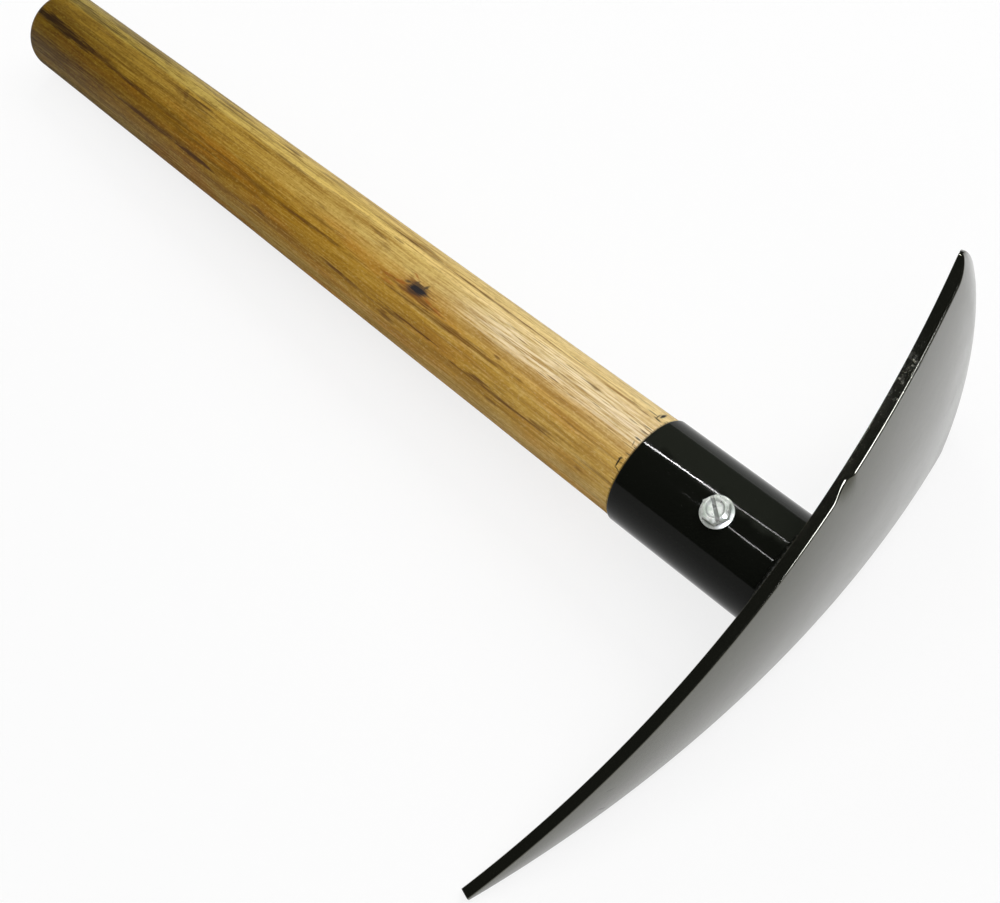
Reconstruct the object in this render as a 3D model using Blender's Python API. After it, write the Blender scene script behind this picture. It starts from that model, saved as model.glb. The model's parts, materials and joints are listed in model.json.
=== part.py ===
"""Prospecting pick, lying on its side: a curved blade with a point and a hoe, a welded socket tube and
a wooden handle held by one screw.

The pieces are modelled in the tool's own frame: +X runs along the handle from the blade to the butt,
+Y points to the point arm, the hoe arm is on -Y, and Z is across the blade's width. X = 0 is the
blade's outer face on the handle's axis. An empty then lays the tool on the floor on its three feet:
the point, the hoe's lower corner and the rim of the butt. All lengths are metres.
"""

import math

import bmesh
import bpy
from mathutils import Matrix, Vector

# Blade, first a flat blank, then rolled about an axis parallel to its width
BLADE_THICKNESS = 0.0040
BLADE_BEND_RADIUS = 0.440
BLADE_LEAN = math.radians(2.16)
BLADE_SIDE_HOLLOW = 0.0014
POINT_ARM_LENGTH = 0.1325
POINT_WIDTH = 0.0025
POINT_THICKNESS = 0.0035
POINT_TAPER_START = 0.030
HOE_ARM_LENGTH = 0.107
HOE_WIDTH = 0.115
HOE_EDGE_RADIUS = 0.107
HOE_CORNER_RADIUS = 0.0035
HOE_BEVEL_WIDTH = 0.012
HOE_EDGE_THICKNESS = 0.0010

# Socket tube
SOCKET_RADIUS = 0.01905
SOCKET_WALL = 0.00165
SOCKET_LENGTH = 0.0587
SOCKET_EDGE_CHAMFER = 0.0004

# Fillet weld
WELD_LEG = 0.0055
WELD_CROWN = 0.0009

# Handle
HANDLE_VISIBLE_LENGTH = 0.329
HANDLE_BUTT_RADIUS = 0.0165
HANDLE_BUTT_ROUNDING = 0.0042
SHOULDER_STEP = 0.0006
SHOULDER_ROUNDING = 0.0005
TENON_CHAMFER = 0.0012
TENON_END_CLEARANCE = 0.0020

# Screw
SCREW_FROM_MOUTH = 0.0325
SCREW_TURN = math.radians(6.5)
SCREW_LENGTH = 0.0254
SCREW_THREAD_RADIUS = 0.0024
SCREW_CORE_RADIUS = 0.0017
SCREW_PITCH = 0.0021
SCREW_TIP_LENGTH = 0.0040
SCREW_FLANGE_RADIUS = 0.00525
SCREW_FLANGE_THICKNESS = 0.0010
SCREW_FLANGE_EDGE = 0.0005
SCREW_HEX_ACROSS_FLATS = 0.00794
SCREW_HEAD_HEIGHT = 0.0041
SCREW_CHAMFER_HEIGHT = 0.0006
SCREW_CHAMFER_WIDTH = 0.0012
SCREW_DISH_RADIUS = 0.0031
SCREW_DISH_FLOOR_RADIUS = 0.00265
SCREW_DISH_DEPTH = 0.0009
SCREW_SLOT_WIDTH = 0.0012
SCREW_SLOT_DEPTH = 0.0019
SCREW_SLOT_TURN = math.radians(52)

# Clearances between neighbours that touch on the real tool
SEAT_GAP = 0.0003
HOLE_GAP = 0.0003
CUTTER_OVERRUN = 0.0020

# Colours, as red, green and blue
PAINT_COLOUR = (0.012, 0.013, 0.011)
WOOD_COLOUR = (0.42, 0.25, 0.07)
ZINC_COLOUR = (0.62, 0.64, 0.60)

# Fineness of the meshes
BLADE_ROW_SPACING = 0.005
BEVEL_ROWS = 6
HALF_COLUMNS = 12
WIDTH_ROUNDS = 8
ROUND_STEPS = 64
SCREW_STEPS = 24
THREAD_ROWS_PER_TURN = 4
ROUNDING_STEPS = 4
WELD_STEPS = 4
SHARP_ANGLE = math.radians(30)
MERGE_DISTANCE = 1e-6
REST_ROUNDS = 20


def clear_scene():
    for thing in list(bpy.data.objects):
        bpy.data.objects.remove(thing)


def make_material(name, colour, roughness, metallic):
    material = bpy.data.materials.new(name)
    material.use_nodes = True
    shader = material.node_tree.nodes["Principled BSDF"]
    shader.inputs["Base Color"].default_value = (*colour, 1.0)
    shader.inputs["Roughness"].default_value = roughness
    shader.inputs["Metallic"].default_value = metallic
    return material


def make_object(name, shape, material, parent):
    """Turn a closed bmesh into a named, smooth shaded object under the tool's empty."""
    bmesh.ops.remove_doubles(shape, verts=shape.verts, dist=MERGE_DISTANCE)
    bmesh.ops.recalc_face_normals(shape, faces=shape.faces)
    mesh = bpy.data.meshes.new(name)
    shape.to_mesh(mesh)
    shape.free()
    mesh.shade_smooth()
    mesh.set_sharp_from_angle(angle=SHARP_ANGLE)
    mesh.materials.append(material)
    thing = bpy.data.objects.new(name, mesh)
    thing.parent = parent
    bpy.context.collection.objects.link(thing)
    return thing


def spun(profile, steps, closed):
    """Spin a profile of (x, radius) points about the X axis into a closed shape."""
    shape = bmesh.new()
    points = [shape.verts.new((x, 0.0, radius)) for x, radius in profile]
    edges = [shape.edges.new(pair) for pair in zip(points, points[1:])]
    if closed:
        edges.append(shape.edges.new((points[-1], points[0])))
    bmesh.ops.spin(shape, geom=points + edges, cent=(0, 0, 0), axis=(1, 0, 0),
                   angle=2 * math.pi, steps=steps, use_merge=True)
    bmesh.ops.remove_doubles(shape, verts=shape.verts, dist=MERGE_DISTANCE)
    bmesh.ops.dissolve_degenerate(shape, edges=shape.edges, dist=MERGE_DISTANCE)
    return shape


def quarter_round(centre_x, centre_radius, radius, start, end):
    """Points of a rounding of a turned profile, between two angles from +X towards the outside."""
    points = []
    for step in range(ROUNDING_STEPS + 1):
        angle = start + (end - start) * step / ROUNDING_STEPS
        points.append((centre_x + radius * math.cos(angle), centre_radius + radius * math.sin(angle)))
    return points


def hoe_edge_drop(z):
    """How far the rounded hoe edge lies behind its foremost point, at a distance z from the middle."""
    return HOE_EDGE_RADIUS - math.sqrt(HOE_EDGE_RADIUS ** 2 - z ** 2)


def hoe_corner():
    """The hoe's upper corner on the flat blank, before it is rounded."""
    half_hoe = HOE_WIDTH / 2
    return Vector((HOE_ARM_LENGTH - hoe_edge_drop(half_hoe), half_hoe))


def half_width(along):
    """Half the blank's width at a place along the arms, with its slightly hollow sides."""
    share = (along + POINT_ARM_LENGTH) / (hoe_corner().x + POINT_ARM_LENGTH)
    straight = POINT_WIDTH / 2 + (HOE_WIDTH - POINT_WIDTH) / 2 * share
    return straight - BLADE_SIDE_HOLLOW * 4 * share * (1 - share)


def round_corner(point):
    """Pull a place near one of the hoe's corners in, so that the corner becomes round."""
    corner = hoe_corner()
    side_slope = ((HOE_WIDTH - POINT_WIDTH) / 2 + 4 * BLADE_SIDE_HOLLOW) / (corner.x + POINT_ARM_LENGTH)
    edge_slope = corner.y / math.sqrt(HOE_EDGE_RADIUS ** 2 - corner.y ** 2)
    side = Vector((-1, -side_slope)).normalized()
    edge = Vector((edge_slope, -1)).normalized()
    half_angle = side.angle(edge) / 2
    inward = (side + edge).normalized()
    centre = corner + inward * HOE_CORNER_RADIUS / math.sin(half_angle)
    offset = Vector((point.x, abs(point.y))) - centre
    if offset.length < MERGE_DISTANCE:
        return point
    reach = math.pi / 2 - half_angle
    turned = offset.angle(-inward)
    if turned >= reach:
        return point
    place = centre + offset * math.cos(reach - turned)
    return Vector((place.x, math.copysign(place.y, point.y)))


def blank_row(row_along):
    """Places across the flat blank; the rows bow more and more like the hoe's edge as they near it."""
    bow = min(1.0, (row_along + POINT_ARM_LENGTH) / (HOE_ARM_LENGTH - HOE_BEVEL_WIDTH + POINT_ARM_LENGTH))
    width = half_width(row_along)
    for _ in range(WIDTH_ROUNDS):
        width = half_width(row_along - bow * hoe_edge_drop(width))
    row = []
    for column in range(-HALF_COLUMNS, HALF_COLUMNS + 1):
        share = column / HALF_COLUMNS
        z = width * (share + math.sin(math.pi / 2 * share)) / 2
        row.append(round_corner(Vector((row_along - bow * hoe_edge_drop(z), z))))
    return row


def blank_rows():
    """Where the rows lie along the blank: evenly, and closer together on the ground edge."""
    bevel_start = HOE_ARM_LENGTH - HOE_BEVEL_WIDTH
    count = round((bevel_start + POINT_ARM_LENGTH) / BLADE_ROW_SPACING)
    rows = [-POINT_ARM_LENGTH + (bevel_start + POINT_ARM_LENGTH) * row / count for row in range(count)]
    for row in range(BEVEL_ROWS + 1):
        rows.append(bevel_start + HOE_BEVEL_WIDTH * math.sin(math.pi / 2 * row / BEVEL_ROWS))
    return rows


def ground_depth(row_along):
    """How far the hoe's convex ground edge lies behind the outer face."""
    share = max(0.0, 1 - (HOE_ARM_LENGTH - row_along) / HOE_BEVEL_WIDTH)
    return (BLADE_THICKNESS - HOE_EDGE_THICKNESS) * share ** 2


def thickness(along):
    """The plate's thickness: full at the socket and the hoe, drawn thinner towards the point."""
    share = max(0.0, (-along - POINT_TAPER_START) / (POINT_ARM_LENGTH - POINT_TAPER_START))
    return BLADE_THICKNESS + (POINT_THICKNESS - BLADE_THICKNESS) * share


def roll(along, width, depth):
    """Bend a place on the flat blank to the blade's curve; depth is measured in from the outer face."""
    angle = BLADE_LEAN + along / BLADE_BEND_RADIUS
    radius = BLADE_BEND_RADIUS - depth
    centre_x = BLADE_BEND_RADIUS * math.cos(BLADE_LEAN)
    centre_y = BLADE_BEND_RADIUS * math.sin(BLADE_LEAN)
    return Vector((centre_x - radius * math.cos(angle), centre_y - radius * math.sin(angle), width))


def inner_face_x(y):
    """Where the blade's inner face lies, at a distance y from the handle's axis."""
    centre_x = BLADE_BEND_RADIUS * math.cos(BLADE_LEAN)
    centre_y = BLADE_BEND_RADIUS * math.sin(BLADE_LEAN)
    inner_radius = BLADE_BEND_RADIUS - BLADE_THICKNESS
    return centre_x - math.sqrt(inner_radius ** 2 - (y - centre_y) ** 2)


def make_blade(material, parent):
    """Two grids of places, the outer and the inner face, closed by the cut edge between their rims."""
    shape = bmesh.new()
    outer, inner = [], []
    for row_along in blank_rows():
        row = blank_row(row_along)
        depth = ground_depth(row_along)
        outer.append([shape.verts.new(roll(place.x, place.y, depth)) for place in row])
        inner.append([shape.verts.new(roll(place.x, place.y, thickness(place.x))) for place in row])
    rims = []
    for grid in (outer, inner):
        for row, above in zip(grid, grid[1:]):
            for column in range(len(row) - 1):
                shape.faces.new((row[column], row[column + 1], above[column + 1], above[column]))
        upper_side = [row[-1] for row in grid[1:-1]]
        lower_side = [row[0] for row in grid[1:-1]]
        rims.append(grid[0] + upper_side + grid[-1][::-1] + lower_side[::-1])
    count = len(rims[0])
    for here in range(count):
        after = (here + 1) % count
        shape.faces.new((rims[0][here], rims[0][after], rims[1][after], rims[1][here]))
    bmesh.ops.triangulate(shape, faces=shape.faces)
    return make_object("blade", shape, material, parent)


def make_socket_tube(material, parent, mouth_x):
    """A length of tube whose end is cut to the curve of the blade's inner face."""
    outer = SOCKET_RADIUS
    inner = SOCKET_RADIUS - SOCKET_WALL
    chamfer = SOCKET_EDGE_CHAMFER
    profile = [(0.0, inner), (0.0, outer), (mouth_x - chamfer, outer),
               (mouth_x, outer - chamfer), (mouth_x, inner)]
    shape = spun(profile, ROUND_STEPS, closed=True)
    for vert in shape.verts:
        if vert.co.x < MERGE_DISTANCE:
            vert.co.x = inner_face_x(vert.co.y) + SEAT_GAP
    bmesh.ops.triangulate(shape, faces=shape.faces)
    return make_object("socket_tube", shape, material, parent)


def make_weld_bead(material, parent):
    """A slightly crowned fillet that runs round the tube on the blade's inner face."""
    root = SOCKET_RADIUS + SEAT_GAP
    profile = [(SEAT_GAP, root)]
    for step in range(WELD_STEPS + 1):
        share = step / WELD_STEPS
        crown = WELD_CROWN * math.sin(math.pi * share) / math.sqrt(2)
        x = SEAT_GAP + WELD_LEG * share + crown
        radius = root + WELD_LEG * (1 - share) + crown
        profile.append((x, radius))
    shape = spun(profile, ROUND_STEPS, closed=True)
    for vert in shape.verts:
        vert.co.x += inner_face_x(vert.co.y)
    bmesh.ops.triangulate(shape, faces=shape.faces)
    return make_object("weld_bead", shape, material, parent)


def make_handle(material, parent, mouth_x):
    """A turned handle: tenon in the socket, shoulder at its mouth, slim taper to a rounded butt."""
    tenon_radius = SOCKET_RADIUS - SOCKET_WALL - SEAT_GAP
    tenon_start = inner_face_x(tenon_radius) + TENON_END_CLEARANCE
    shoulder_x = mouth_x + SEAT_GAP
    shoulder_radius = SOCKET_RADIUS - SHOULDER_STEP
    butt_x = shoulder_x + HANDLE_VISIBLE_LENGTH
    profile = [(tenon_start, 0.0), (tenon_start, tenon_radius - TENON_CHAMFER),
               (tenon_start + TENON_CHAMFER, tenon_radius), (shoulder_x, tenon_radius)]
    profile += quarter_round(shoulder_x + SHOULDER_ROUNDING, shoulder_radius - SHOULDER_ROUNDING,
                             SHOULDER_ROUNDING, math.pi, math.pi / 2)
    profile += quarter_round(butt_x - HANDLE_BUTT_ROUNDING, HANDLE_BUTT_RADIUS - HANDLE_BUTT_ROUNDING,
                             HANDLE_BUTT_ROUNDING, math.pi / 2, 0.0)
    profile.append((butt_x, 0.0))
    shape = spun(profile, ROUND_STEPS, closed=False)
    return make_object("handle", shape, material, parent)


def hexagon_radius(angle):
    """Distance from the middle of the screw's hexagon to its side, in a given direction."""
    side_angle = math.radians(60)
    off_side = (angle + side_angle / 2) % side_angle - side_angle / 2
    return SCREW_HEX_ACROSS_FLATS / 2 / math.cos(off_side)


def thread_radius(depth, angle):
    """Radius of the screw's thread at a depth below the head and an angle round it."""
    turns = (depth / SCREW_PITCH + angle / (2 * math.pi)) % 1.0
    ridge = abs(2 * turns - 1)
    to_tip = min(1.0, (SCREW_LENGTH - depth) / SCREW_TIP_LENGTH)
    return to_tip * (SCREW_CORE_RADIUS + (SCREW_THREAD_RADIUS - SCREW_CORE_RADIUS) * ridge)


def make_screw(material, parent, place):
    """The screw, built along +X with its head's seat at X = 0, then turned to stand on the tube."""
    hex_corner = SCREW_HEX_ACROSS_FLATS / 2 / math.cos(math.radians(30))
    rows = round(SCREW_LENGTH / SCREW_PITCH * THREAD_ROWS_PER_TURN)
    shank = [(-SCREW_LENGTH, 0.0)]
    shank += [(-SCREW_LENGTH * (1 - row / rows), SCREW_CORE_RADIUS) for row in range(1, rows)]
    flange_top = SCREW_FLANGE_THICKNESS
    top = SCREW_HEAD_HEIGHT
    dish_floor = top - SCREW_DISH_DEPTH
    flange = [(0.0, SCREW_CORE_RADIUS), (0.0, SCREW_FLANGE_RADIUS),
              (SCREW_FLANGE_EDGE, SCREW_FLANGE_RADIUS)]
    hexagon = [(flange_top, hex_corner), (top - SCREW_CHAMFER_HEIGHT, hex_corner),
               (top, hex_corner - SCREW_CHAMFER_WIDTH)]
    dish = [(top, SCREW_DISH_RADIUS), (dish_floor, SCREW_DISH_FLOOR_RADIUS), (dish_floor, 0.0)]
    shape = spun(shank + flange + hexagon + dish, SCREW_STEPS, closed=False)
    for vert in shape.verts:
        x, y, z = vert.co
        radius = math.hypot(y, z)
        angle = math.atan2(z, y) % (2 * math.pi)
        if x < -MERGE_DISTANCE and radius > MERGE_DISTANCE:
            wanted = thread_radius(-x, angle)
        elif x > flange_top - MERGE_DISTANCE and radius > SCREW_DISH_RADIUS + MERGE_DISTANCE:
            wanted = min(radius, hexagon_radius(angle))
        else:
            continue
        vert.co.y *= wanted / radius
        vert.co.z *= wanted / radius
    bmesh.ops.triangulate(shape, faces=shape.faces)
    screw = make_object("socket_screw", shape, material, parent)
    slot = make_box("screw_slot_cutter", parent,
                    (2 * SCREW_SLOT_DEPTH, 4 * SCREW_FLANGE_RADIUS, SCREW_SLOT_WIDTH))
    slot.parent = screw
    slot.location = (SCREW_HEAD_HEIGHT, 0, 0)
    slot.rotation_euler = (SCREW_SLOT_TURN, 0, 0)
    cut(screw, slot)
    screw.matrix_local = place
    return screw


def hide_cutter(cutter):
    cutter.hide_render = True
    cutter.display_type = "WIRE"


def make_box(name, parent, size):
    shape = bmesh.new()
    bmesh.ops.create_cube(shape, size=1.0)
    bmesh.ops.scale(shape, vec=size, verts=shape.verts)
    box = make_object(name, shape, cutter_material(), parent)
    hide_cutter(box)
    return box


def make_hole_cutter(parent, place):
    """The screw's hole, through one wall of the tube and into the wood, just deeper than the screw."""
    radius = SCREW_THREAD_RADIUS + HOLE_GAP
    depth = SCREW_LENGTH + SEAT_GAP + HOLE_GAP
    profile = [(-depth, 0.0), (-depth, radius), (CUTTER_OVERRUN, radius), (CUTTER_OVERRUN, 0.0)]
    shape = spun(profile, SCREW_STEPS, closed=False)
    cutter = make_object("screw_hole_cutter", shape, cutter_material(), parent)
    cutter.matrix_local = place
    hide_cutter(cutter)
    return cutter


def cutter_material():
    return bpy.data.materials.get("cutter") or make_material("cutter", (0.8, 0.2, 0.2), 0.5, 0.0)


def cut(thing, cutter):
    modifier = thing.modifiers.new(cutter.name, "BOOLEAN")
    modifier.operation = "DIFFERENCE"
    modifier.solver = "EXACT"
    modifier.object = cutter


def standing_on_tube(x, height):
    """The frame of a thing that stands on the tube, with its own +X pointing away from the axis."""
    turn = Matrix.Rotation(-SCREW_TURN, 4, "X")
    upright = Matrix.Rotation(-math.pi / 2, 4, "Y")
    return turn @ Matrix.Translation((x, 0, height)) @ upright


def resting_frame(blade, handle, whole):
    """The rotation and place that lay the tool on its point, its hoe's lower corner and its butt."""
    blade_points = [vert.co for vert in blade.data.vertices]
    handle_points = [vert.co for vert in handle.data.vertices]
    butt_x = max(point.x for point in handle_points)
    feet = ([point for point in blade_points if point.y > 0],
            [point for point in blade_points if point.y < 0],
            [point for point in handle_points if point.x > butt_x - 2 * HANDLE_BUTT_ROUNDING])
    up = Vector((0, 0, 1))
    for _ in range(REST_ROUNDS):
        tip, corner, butt = (min(points, key=up.dot) for points in feet)
        normal = (corner - tip).cross(butt - tip).normalized()
        up = normal if normal.z > 0 else -normal
    forward = (Vector((1, 0, 0)) - up * up.x).normalized()
    rotation = Matrix((forward, up.cross(forward), up)).to_4x4()
    placed = []
    for thing in whole:
        placed += [rotation @ thing.matrix_basis @ vert.co for vert in thing.data.vertices]
    low = [min(point[axis] for point in placed) for axis in range(3)]
    high = [max(point[axis] for point in placed) for axis in range(3)]
    shift = Vector((-(low[0] + high[0]) / 2, -(low[1] + high[1]) / 2, -low[2]))
    return Matrix.Translation(shift) @ rotation


def main():
    clear_scene()
    tool = bpy.data.objects.new("tool_at_rest", None)
    bpy.context.collection.objects.link(tool)
    black_paint = make_material("black_paint", PAINT_COLOUR, roughness=0.25, metallic=0.0)
    varnished_wood = make_material("varnished_wood", WOOD_COLOUR, roughness=0.4, metallic=0.0)
    zinc = make_material("zinc_plated_steel", ZINC_COLOUR, roughness=0.3, metallic=1.0)

    mouth_x = inner_face_x(0.0) + SEAT_GAP + SOCKET_LENGTH
    blade = make_blade(black_paint, tool)
    tube = make_socket_tube(black_paint, tool, mouth_x)
    bead = make_weld_bead(black_paint, tool)
    handle = make_handle(varnished_wood, tool, mouth_x)
    screw_place = standing_on_tube(mouth_x - SCREW_FROM_MOUTH, SOCKET_RADIUS + SEAT_GAP)
    screw = make_screw(zinc, tool, screw_place)
    hole = make_hole_cutter(tool, screw_place)
    cut(tube, hole)
    cut(handle, hole)
    tool.matrix_world = resting_frame(blade, handle, (blade, tube, bead, handle, screw))


main()
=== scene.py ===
"""Looks of the prospecting pick: painted blade and socket, varnished handle and zinc-plated screw.

Every piece is modelled in the tool's own frame, as in the CAD source: +X runs along the handle from the
blade to the butt, +Y points to the point arm, the hoe arm is on -Y, and Z is across the blade's width.
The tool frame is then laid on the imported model's frame. All lengths are metres.
"""

import json
import math

import bmesh
import bpy
from mathutils import Matrix, Vector, noise


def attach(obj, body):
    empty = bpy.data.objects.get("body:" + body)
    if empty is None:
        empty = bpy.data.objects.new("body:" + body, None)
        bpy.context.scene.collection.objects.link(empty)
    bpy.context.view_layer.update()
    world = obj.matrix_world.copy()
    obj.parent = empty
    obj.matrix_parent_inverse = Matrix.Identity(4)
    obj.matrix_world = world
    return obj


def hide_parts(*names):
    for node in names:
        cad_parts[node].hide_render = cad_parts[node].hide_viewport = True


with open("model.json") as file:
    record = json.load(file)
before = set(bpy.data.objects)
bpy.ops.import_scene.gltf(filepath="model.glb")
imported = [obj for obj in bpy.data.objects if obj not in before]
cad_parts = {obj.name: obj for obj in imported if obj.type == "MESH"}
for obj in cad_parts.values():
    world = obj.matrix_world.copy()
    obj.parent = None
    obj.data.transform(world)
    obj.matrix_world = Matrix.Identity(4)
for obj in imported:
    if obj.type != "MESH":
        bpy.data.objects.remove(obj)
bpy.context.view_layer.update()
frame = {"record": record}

# Sizes that the CAD source also has
BLADE_THICKNESS = 0.0040
BLADE_BEND_RADIUS = 0.440
BLADE_LEAN = math.radians(2.16)
BLADE_SIDE_HOLLOW = 0.0014
POINT_ARM_LENGTH = 0.1325
POINT_WIDTH = 0.0025
POINT_THICKNESS = 0.0035
POINT_TAPER_START = 0.030
HOE_ARM_LENGTH = 0.107
HOE_WIDTH = 0.115
HOE_EDGE_RADIUS = 0.107
HOE_CORNER_RADIUS = 0.0035
HOE_BEVEL_WIDTH = 0.012
HOE_EDGE_THICKNESS = 0.0010
SOCKET_RADIUS = 0.01905
SOCKET_WALL = 0.00165
SOCKET_LENGTH = 0.0587
SOCKET_EDGE_ROUNDING = 0.0004
WELD_LEG = 0.0055
WELD_CROWN = 0.0009
HANDLE_VISIBLE_LENGTH = 0.329
HANDLE_BUTT_RADIUS = 0.0165
HANDLE_BUTT_ROUNDING = 0.0042
SHOULDER_STEP = 0.0006
SHOULDER_ROUNDING = 0.0005
TENON_CHAMFER = 0.0012
TENON_END_CLEARANCE = 0.0020
SCREW_FROM_MOUTH = 0.0325
SCREW_TURN = math.radians(6.5)
SCREW_LENGTH = 0.0254
SCREW_THREAD_RADIUS = 0.0024
SCREW_CORE_RADIUS = 0.0017
SCREW_PITCH = 0.0021
SCREW_TIP_LENGTH = 0.0040
SCREW_FLANGE_RADIUS = 0.00525
SCREW_FLANGE_THICKNESS = 0.0010
SCREW_FLANGE_EDGE = 0.0005
SCREW_HEX_ACROSS_FLATS = 0.00794
SCREW_HEAD_HEIGHT = 0.0041
SCREW_CHAMFER_HEIGHT = 0.0006
SCREW_CHAMFER_WIDTH = 0.0012
SCREW_DISH_RADIUS = 0.0031
SCREW_DISH_FLOOR_RADIUS = 0.00265
SCREW_DISH_DEPTH = 0.0009
SCREW_SLOT_WIDTH = 0.0012
SCREW_SLOT_DEPTH = 0.0019
SCREW_SLOT_TURN = math.radians(52)
SCREW_EDGE_ROUNDING = 0.0001
SEAT_GAP = 0.0003
HOLE_GAP = 0.0003
CUTTER_OVERRUN = 0.0020

# How the tool lies: its width direction leans from upright towards the point arm's side
SIDE_LEAN = math.radians(14.3683)

# Details that only the looks have
BLADE_CROWN_SHARE = 0.055
BLADE_CROWN_LIMIT = 0.0018
BLADE_CROWN_FADE = 0.035
EDGE_ROUNDING = 0.0005
DENT_START = 0.0245
DENT_LENGTH = 0.0100
DENT_RISE = 0.0027
DENT_DEPTH = 0.0013
DENT_REACH = 0.0022
HOE_EDGE_WANDER = 0.0017
HOE_WANDER_LEAN = 0.6
HOE_WANDER_REACH = 0.030
WELD_RIPPLE = 0.0022
WELD_RIPPLE_HEIGHT = 0.00022
WELD_RIPPLE_BEND = 2.6
WELD_RIPPLE_WAVER = 1.5
WELD_WAVER_SCALE = 90
WELD_UNEVENNESS = 0.0004
WELD_UNEVEN_SCALE = 160
HANDLE_UNEVENNESS = 0.00012
HANDLE_WAVES = Vector((25, 110, 110))
MERGE_DISTANCE = 1e-6
SHARP_DEGREES = 35

# The photograph's view, in the tool's frame
CAMERA_PLACE = Vector((-0.098367, 0.099808, 0.398654))
CAMERA_AIM = Vector((0.105159, 0.026706, 0.0))
CAMERA_ROLL = math.radians(-29.044)
CAMERA_LENS = 50.394
CAMERA_SENSOR = 36.0
CAMERA_SHIFT = (0.0038, 0.0053)
CAMERA_CLIP_START = 0.01

# The centre of the blade's bend
BEND_CENTRE_X = BLADE_BEND_RADIUS * math.cos(BLADE_LEAN)
BEND_CENTRE_Y = BLADE_BEND_RADIUS * math.sin(BLADE_LEAN)


def inner_face_x(y):
    """Where the blade's inner face lies, at a distance y from the handle's axis."""
    inner_radius = BLADE_BEND_RADIUS - BLADE_THICKNESS
    return BEND_CENTRE_X - math.sqrt(inner_radius ** 2 - (y - BEND_CENTRE_Y) ** 2)


MOUTH_X = inner_face_x(0.0) + SEAT_GAP + SOCKET_LENGTH
SHOULDER_X = MOUTH_X + SEAT_GAP
BUTT_X = SHOULDER_X + HANDLE_VISIBLE_LENGTH


def tool_frame():
    """The tool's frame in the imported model, from its butt mount and the angle at which it leans."""
    butt = frame["record"]["mounts"][0]
    along = Vector(butt["axis"]).normalized()
    upright = (Vector((0, 0, 1)) - along * along.z).normalized()
    sideways = upright.cross(along)
    width = upright * math.cos(SIDE_LEAN) + sideways * math.sin(SIDE_LEAN)
    place = Vector(butt["pos_m"]) - along * BUTT_X
    turn = Matrix((along, width.cross(along), width)).transposed()
    return Matrix.Translation(place) @ turn.to_4x4()


TOOL = tool_frame()


class Shader:
    """A material whose node tree is written as short expressions."""

    def __init__(self, name):
        self.material = bpy.data.materials.new(name)
        self.material.use_nodes = True
        self.nodes = self.material.node_tree.nodes
        self.links = self.material.node_tree.links
        self.nodes.clear()
        self.place = self.tool_place(self.add("ShaderNodeTexCoord").outputs["Object"])

    def tool_place(self, place):
        """The same place in the tool's frame."""
        inputs = {"Vector": place, "Location": TOOL.to_translation(), "Rotation": TOOL.to_euler()}
        return self.add("ShaderNodeMapping", inputs, vector_type="TEXTURE").outputs[0]

    def add(self, kind, inputs=None, **settings):
        node = self.nodes.new(kind)
        for name, value in settings.items():
            setattr(node, name, value)
        for name, value in (inputs or {}).items():
            self.feed(node.inputs[name], value)
        return node

    def feed(self, socket, value):
        if isinstance(value, bpy.types.NodeSocket):
            self.links.new(value, socket)
        else:
            socket.default_value = value

    def math(self, operation, first, second=0.0, third=0.0, clamp=False):
        inputs = {0: first, 1: second, 2: third}
        return self.add("ShaderNodeMath", inputs, operation=operation, use_clamp=clamp).outputs[0]

    def vector(self, operation, first, second=(0, 0, 0)):
        node = self.add("ShaderNodeVectorMath", {0: first, 1: second}, operation=operation)
        return node.outputs["Value" if operation in ("DOT_PRODUCT", "LENGTH") else "Vector"]

    def noise(self, vector, scale, detail=2.0, roughness=0.5):
        inputs = {"Vector": vector, "Scale": scale, "Detail": detail, "Roughness": roughness}
        return self.add("ShaderNodeTexNoise", inputs).outputs["Fac"]

    def ramp(self, value, low, high, start=0.0, end=1.0):
        """A smooth change from start to end while the value goes from low to high."""
        inputs = {"Value": value, "From Min": low, "From Max": high, "To Min": start, "To Max": end}
        node = self.add("ShaderNodeMapRange", inputs, interpolation_type="SMOOTHSTEP", clamp=False)
        return node.outputs["Result"]

    def mix(self, share, first, second, blend="MIX"):
        node = self.add("ShaderNodeMix", data_type="RGBA", blend_type=blend)
        for socket, value in ((node.inputs[0], share), (node.inputs[6], first), (node.inputs[7], second)):
            self.feed(socket, (*value, 1.0) if isinstance(value, tuple) else value)
        return node.outputs[2]

    def colours(self, value, stops):
        """A colour ramp with the given (place, colour) stops."""
        node = self.add("ShaderNodeValToRGB", {"Fac": value})
        elements = node.color_ramp.elements
        while len(elements) < len(stops):
            elements.new(0.5)
        for element, (place, colour) in zip(elements, stops):
            element.position = place
            element.color = (*colour, 1.0)
        return node.outputs["Color"]

    def bump(self, height, strength, distance):
        inputs = {"Height": height, "Strength": strength, "Distance": distance}
        return self.add("ShaderNodeBump", inputs).outputs["Normal"]

    def surface(self, **inputs):
        """The finished surface; names are the shader's own, with underscores for spaces."""
        shader = self.add("ShaderNodeBsdfPrincipled")
        for name, value in inputs.items():
            socket = shader.inputs[name.replace("_", " ")]
            self.feed(socket, (*value, 1.0) if isinstance(value, tuple) and len(value) == 3 else value)
        output = self.add("ShaderNodeOutputMaterial")
        self.links.new(shader.outputs["BSDF"], output.inputs["Surface"])
        return self.material


# Wood

SURFACE_RADIUS = 0.0175
SAP_LINE = math.radians(114)
BACK_TURN = math.radians(200)
KNOT_PLACE = (98.5, 81.0)
KNOT_REACH = (0.0085, 0.0042)
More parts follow.
